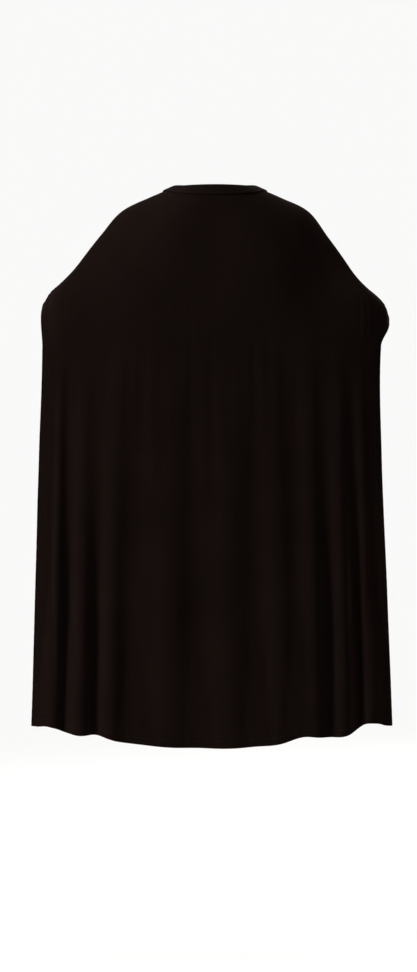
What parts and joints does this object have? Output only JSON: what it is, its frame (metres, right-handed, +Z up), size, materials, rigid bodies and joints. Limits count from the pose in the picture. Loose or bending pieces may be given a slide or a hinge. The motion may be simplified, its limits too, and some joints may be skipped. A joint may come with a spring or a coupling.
{
  "type": "superhero cape",
  "caption": "Child's thin black costume cape, worn shape, with bound neckline, narrow hems, and a hook-and-loop throat closure.",
  "frame": {"origin": "centre of the neck opening, level with the nape", "axes": "+Z up; +Y forward, towards the throat closure, so the back of the cape faces -Y; +X towards the wearer's right"},
  "size_m": [0.4409, 0.1704, 0.6865],
  "materials": {
    "cape_cloth": "matte",
    "binding_cloth": "matte",
    "thread": "satin",
    "stay_tape": "matte",
    "hook_tape": "satin",
    "loop_tape": "matte",
    "label_satin": "satin"
  },
  "bodies": {
    "shoulder_cape": {"upper_cape_panel": "cape_cloth", "neck_binding": "binding_cloth", "neck_stay_tape": "stay_tape", "neck_binding_stitching": "thread", "left_edge_hem_upper": "cape_cloth", "left_edge_stitching_upper": "thread", "right_edge_hem_upper": "cape_cloth", "right_edge_stitching_upper": "thread", "right_closure_tab": "binding_cloth", "loop_tape": "loop_tape", "loop_tape_stitching": "thread"},
    "hanging_cape": {"lower_cape_panel": "cape_cloth", "left_edge_hem_lower": "cape_cloth", "left_edge_stitching_lower": "thread", "right_edge_hem_lower": "cape_cloth", "right_edge_stitching_lower": "thread", "bottom_hem": "cape_cloth", "bottom_hem_stitching": "thread"},
    "closure_tab": {"left_closure_tab": "binding_cloth", "hook_tape": "hook_tape", "hook_tape_stitching": "thread"},
    "label": {"care_label": "label_satin", "care_label_stitching": "thread"}
  },
  "joints": [
    {"name": "cape_swing", "type": "hinge", "parent": "shoulder_cape", "child": "hanging_cape", "pos_m": [0, -0.1025, -0.195], "axis": [-1, 0, 0], "range_deg": [0, 60]},
    {"name": "closure_peel", "type": "hinge", "parent": "shoulder_cape", "child": "closure_tab", "pos_m": [-0.022, 0.0538, -0.037], "axis": [0, 0, 1], "range_deg": [0, 120]},
    {"name": "label_flip", "type": "hinge", "parent": "shoulder_cape", "child": "label", "pos_m": [0, -0.0449, -0.005], "axis": [1, 0, 0], "range_deg": [0, 110]}
  ]
}
